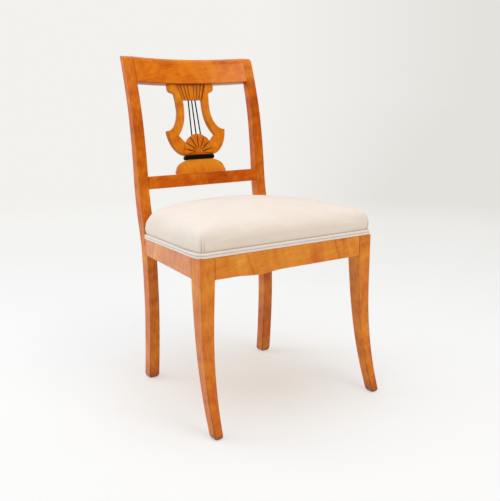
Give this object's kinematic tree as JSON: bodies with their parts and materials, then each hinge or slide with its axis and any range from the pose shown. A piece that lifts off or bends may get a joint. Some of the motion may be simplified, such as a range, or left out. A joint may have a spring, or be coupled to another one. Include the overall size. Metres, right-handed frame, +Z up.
{
  "type": "lyre back dining chair",
  "caption": "Dining chair in satin birch with sabre front legs, a bowed crest rail, a carved lyre in the back and a crowned stuffed seat edged with double piping.",
  "frame": {"origin": "on the floor, below the middle of the chair's bounding box", "axes": "+X to the right of someone facing the chair's front, +Y to the back, +Z up"},
  "size_m": [0.5124, 0.5568, 0.86],
  "materials": {
    "satin_birch": "honey-coloured satin birch, french polished, figured, with softened edges",
    "ebonised_wood": "black stained and polished",
    "string": "thin dark stained rods",
    "block_wood": "plain unpolished wood inside the seat frame",
    "screw_steel": "plain steel wood screws",
    "webbing": "plain jute upholstery webbing",
    "hessian": "coarse plain-woven hessian",
    "stuffing": "curled hair and wadding, hidden by the cover",
    "seat_fabric": "smooth cream upholstery fabric, close plain weave, matt"
  },
  "bodies": {
    "root": {"front_leg_left": "satin_birch", "front_leg_right": "satin_birch", "rear_post_left": "satin_birch", "rear_post_right": "satin_birch", "side_rail_left": "satin_birch", "side_rail_right": "satin_birch", "front_rail": "satin_birch", "rear_rail": "satin_birch", "crest_rail": "satin_birch", "lower_back_rail": "satin_birch", "lyre_frame": "satin_birch", "lyre_fan": "satin_birch", "lyre_shell": "satin_birch", "lyre_plinth": "satin_birch", "lyre_collar": "ebonised_wood", "lyre_string_1": "string", "lyre_string_2": "string", "lyre_string_3": "string", "corner_block_front_left": "block_wood", "block_screw_front_left_1": "screw_steel", "block_screw_front_left_2": "screw_steel", "corner_block_front_right": "block_wood", "block_screw_front_right_1": "screw_steel", "block_screw_front_right_2": "screw_steel", "corner_block_rear_left": "block_wood", "block_screw_rear_left_1": "screw_steel", "block_screw_rear_left_2": "screw_steel", "corner_block_rear_right": "block_wood", "block_screw_rear_right_1": "screw_steel", "block_screw_rear_right_2": "screw_steel", "webbing_along_1": "webbing", "webbing_along_2": "webbing", "webbing_along_3": "webbing", "webbing_across_1": "webbing", "webbing_across_2": "webbing", "webbing_across_3": "webbing", "hessian": "hessian", "seat_stuffing": "stuffing", "seat_cover": "seat_fabric", "piping_front": "seat_fabric", "piping_rear": "seat_fabric"}
  },
  "joints": []
}
